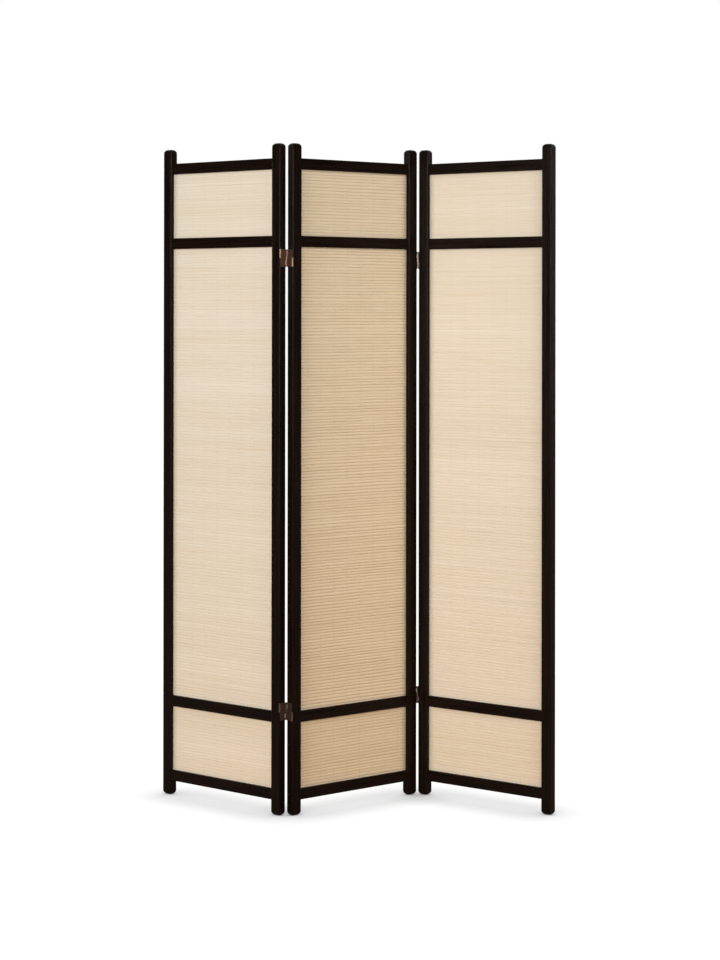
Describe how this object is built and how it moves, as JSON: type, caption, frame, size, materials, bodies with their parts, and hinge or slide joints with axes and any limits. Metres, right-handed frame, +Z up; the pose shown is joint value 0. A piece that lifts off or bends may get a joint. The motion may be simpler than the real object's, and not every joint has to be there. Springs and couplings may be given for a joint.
{
  "type": "folding screen",
  "caption": "Free-standing folding screen: dark wooden frames filled with split-bamboo blinds, joined by double-action cross hinges so the panels zigzag, open flat or fold shut.",
  "frame": {"origin": "middle of the standing screen's footprint, on the floor", "axes": "+Z up along the posts, +X along the zigzag from the left panel to the right panel, front towards -Y"},
  "size_m": [1.0758, 0.3108, 1.8],
  "materials": {
    "dark_stained_wood": "near-black brown stain under a satin varnish",
    "bamboo": "natural split bamboo, matte",
    "dowel_wood": "plain beech, hidden in the joints",
    "bronzed_metal": "dark copper-bronze plating, satin"
  },
  "bodies": {
    "center_panel": {"center_panel_bottom_blind": "bamboo", "center_panel_bottom_rail": "dark_stained_wood", "center_panel_dowels": "dowel_wood", "center_panel_left_post": "dark_stained_wood", "center_panel_lower_rail": "dark_stained_wood", "center_panel_middle_blind": "bamboo", "center_panel_right_post": "dark_stained_wood", "center_panel_top_blind": "bamboo", "center_panel_top_rail": "dark_stained_wood", "center_panel_upper_rail": "dark_stained_wood", "left_joint_center_pins": "bronzed_metal", "left_joint_center_screws": "bronzed_metal", "left_lower_hinge_center_leaf": "bronzed_metal", "left_lower_hinge_center_link": "bronzed_metal", "left_upper_hinge_center_leaf": "bronzed_metal", "left_upper_hinge_center_link": "bronzed_metal", "right_joint_center_pins": "bronzed_metal", "right_joint_center_screws": "bronzed_metal", "right_lower_hinge_center_leaf": "bronzed_metal", "right_lower_hinge_center_link": "bronzed_metal", "right_upper_hinge_center_leaf": "bronzed_metal", "right_upper_hinge_center_link": "bronzed_metal"},
    "left_panel": {"left_joint_outer_pins": "bronzed_metal", "left_joint_outer_screws": "bronzed_metal", "left_lower_hinge_outer_leaf": "bronzed_metal", "left_lower_hinge_outer_link": "bronzed_metal", "left_panel_bottom_blind": "bamboo", "left_panel_bottom_rail": "dark_stained_wood", "left_panel_dowels": "dowel_wood", "left_panel_left_post": "dark_stained_wood", "left_panel_lower_rail": "dark_stained_wood", "left_panel_middle_blind": "bamboo", "left_panel_right_post": "dark_stained_wood", "left_panel_top_blind": "bamboo", "left_panel_top_rail": "dark_stained_wood", "left_panel_upper_rail": "dark_stained_wood", "left_upper_hinge_outer_leaf": "bronzed_metal", "left_upper_hinge_outer_link": "bronzed_metal"},
    "right_panel": {"right_joint_outer_pins": "bronzed_metal", "right_joint_outer_screws": "bronzed_metal", "right_lower_hinge_outer_leaf": "bronzed_metal", "right_lower_hinge_outer_link": "bronzed_metal", "right_panel_bottom_blind": "bamboo", "right_panel_bottom_rail": "dark_stained_wood", "right_panel_dowels": "dowel_wood", "right_panel_left_post": "dark_stained_wood", "right_panel_lower_rail": "dark_stained_wood", "right_panel_middle_blind": "bamboo", "right_panel_right_post": "dark_stained_wood", "right_panel_top_blind": "bamboo", "right_panel_top_rail": "dark_stained_wood", "right_panel_upper_rail": "dark_stained_wood", "right_upper_hinge_outer_leaf": "bronzed_metal", "right_upper_hinge_outer_link": "bronzed_metal"}
  },
  "joints": [
    {"name": "left_fold", "type": "hinge", "parent": "center_panel", "child": "left_panel", "pos_m": [-0.18403, -0.13341, 0], "axis": [0, 0, 1], "range_deg": [-99.9, 80]},
    {"name": "right_fold", "type": "hinge", "parent": "center_panel", "child": "right_panel", "pos_m": [0.17279, 0.13271, 0], "axis": [0, 0, 1], "range_deg": [-102.4, 77.5]}
  ]
}
